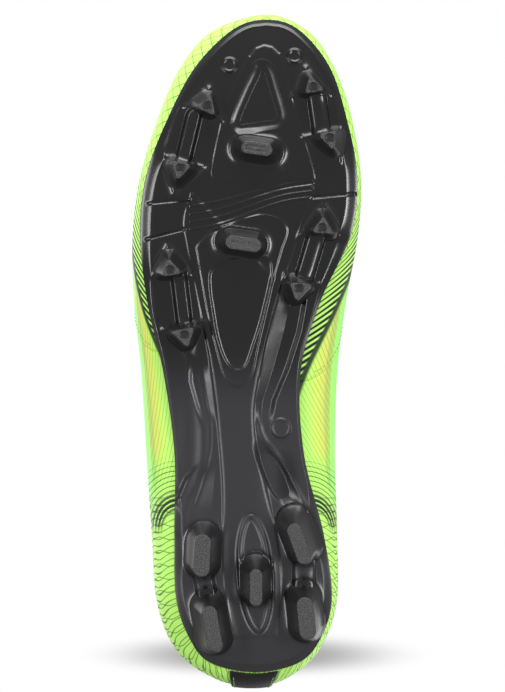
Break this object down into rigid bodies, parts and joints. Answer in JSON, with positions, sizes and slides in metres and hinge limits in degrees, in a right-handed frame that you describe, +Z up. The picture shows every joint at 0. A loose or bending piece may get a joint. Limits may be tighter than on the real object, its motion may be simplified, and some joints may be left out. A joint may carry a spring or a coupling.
{
  "type": "soccer cleat",
  "caption": "Right-foot football boot with a printed knit upper, laced throat, hinged tongue, loose sockliner and a moulded sole plate with studs.",
  "frame": {"origin": "middle of the footprint, on the ground under the stud tips", "axes": "+X from heel to toe, +Y to the inner (medial) side of the right foot, +Z up"},
  "size_m": [0.296, 0.1, 0.1066],
  "materials": {
    "plate": "moulded, satin with gloss bevels",
    "stud": "gloss, grained tips",
    "filler": "foam sheet",
    "board": "pressed fibre board",
    "sockliner": "brushed textile on foam",
    "printed_knit": "coated knit with a printed pattern",
    "stiffener": "thermoformed sheet",
    "lining": "knitted textile",
    "foam": "open-cell foam",
    "lace_band": "fused film",
    "heel_strip": "moulded strip",
    "tongue_knit": "knit",
    "lace": "braided cord",
    "lace_tip": "clear film over braid"
  },
  "bodies": {
    "boot": {"outsole": "plate", "stud_lateral_1": "stud", "stud_lateral_2": "stud", "stud_lateral_3": "stud", "stud_lateral_4": "stud", "stud_medial_1": "stud", "stud_medial_2": "stud", "stud_medial_3": "stud", "stud_medial_4": "stud", "stud_centre_front": "stud", "stud_centre_rear": "stud", "heel_stud_lateral_front": "stud", "heel_stud_lateral_rear": "stud", "heel_stud_medial_front": "stud", "heel_stud_medial_rear": "stud", "heel_stud_centre": "stud", "bottom_filler": "filler", "insole_board": "board", "vamp": "printed_knit", "quarter_lateral": "printed_knit", "quarter_medial": "printed_knit", "toe_puff": "stiffener", "heel_counter": "stiffener", "vamp_lining": "lining", "quarter_lining_lateral": "lining", "quarter_lining_medial": "lining", "collar_foam": "foam", "eyestay_lateral": "lace_band", "eyestay_medial": "lace_band", "heel_strip": "heel_strip", "lace": "lace", "lace_tip_lateral": "lace_tip", "lace_tip_medial": "lace_tip"},
    "tongue": {"tongue_face": "tongue_knit", "tongue_padding": "lining"},
    "sockliner": {"sockliner": "sockliner"}
  },
  "joints": [
    {"name": "tongue_fold", "type": "hinge", "parent": "boot", "child": "tongue", "pos_m": [0.0374, -0.0005, 0.064], "axis": [0, -1, 0], "range_deg": [0, 12]},
    {"name": "sockliner_lift", "type": "hinge", "parent": "boot", "child": "sockliner", "pos_m": [0.138, 0.003, 0.0285], "axis": [0, 1, 0], "range_deg": [0, 6]}
  ]
}
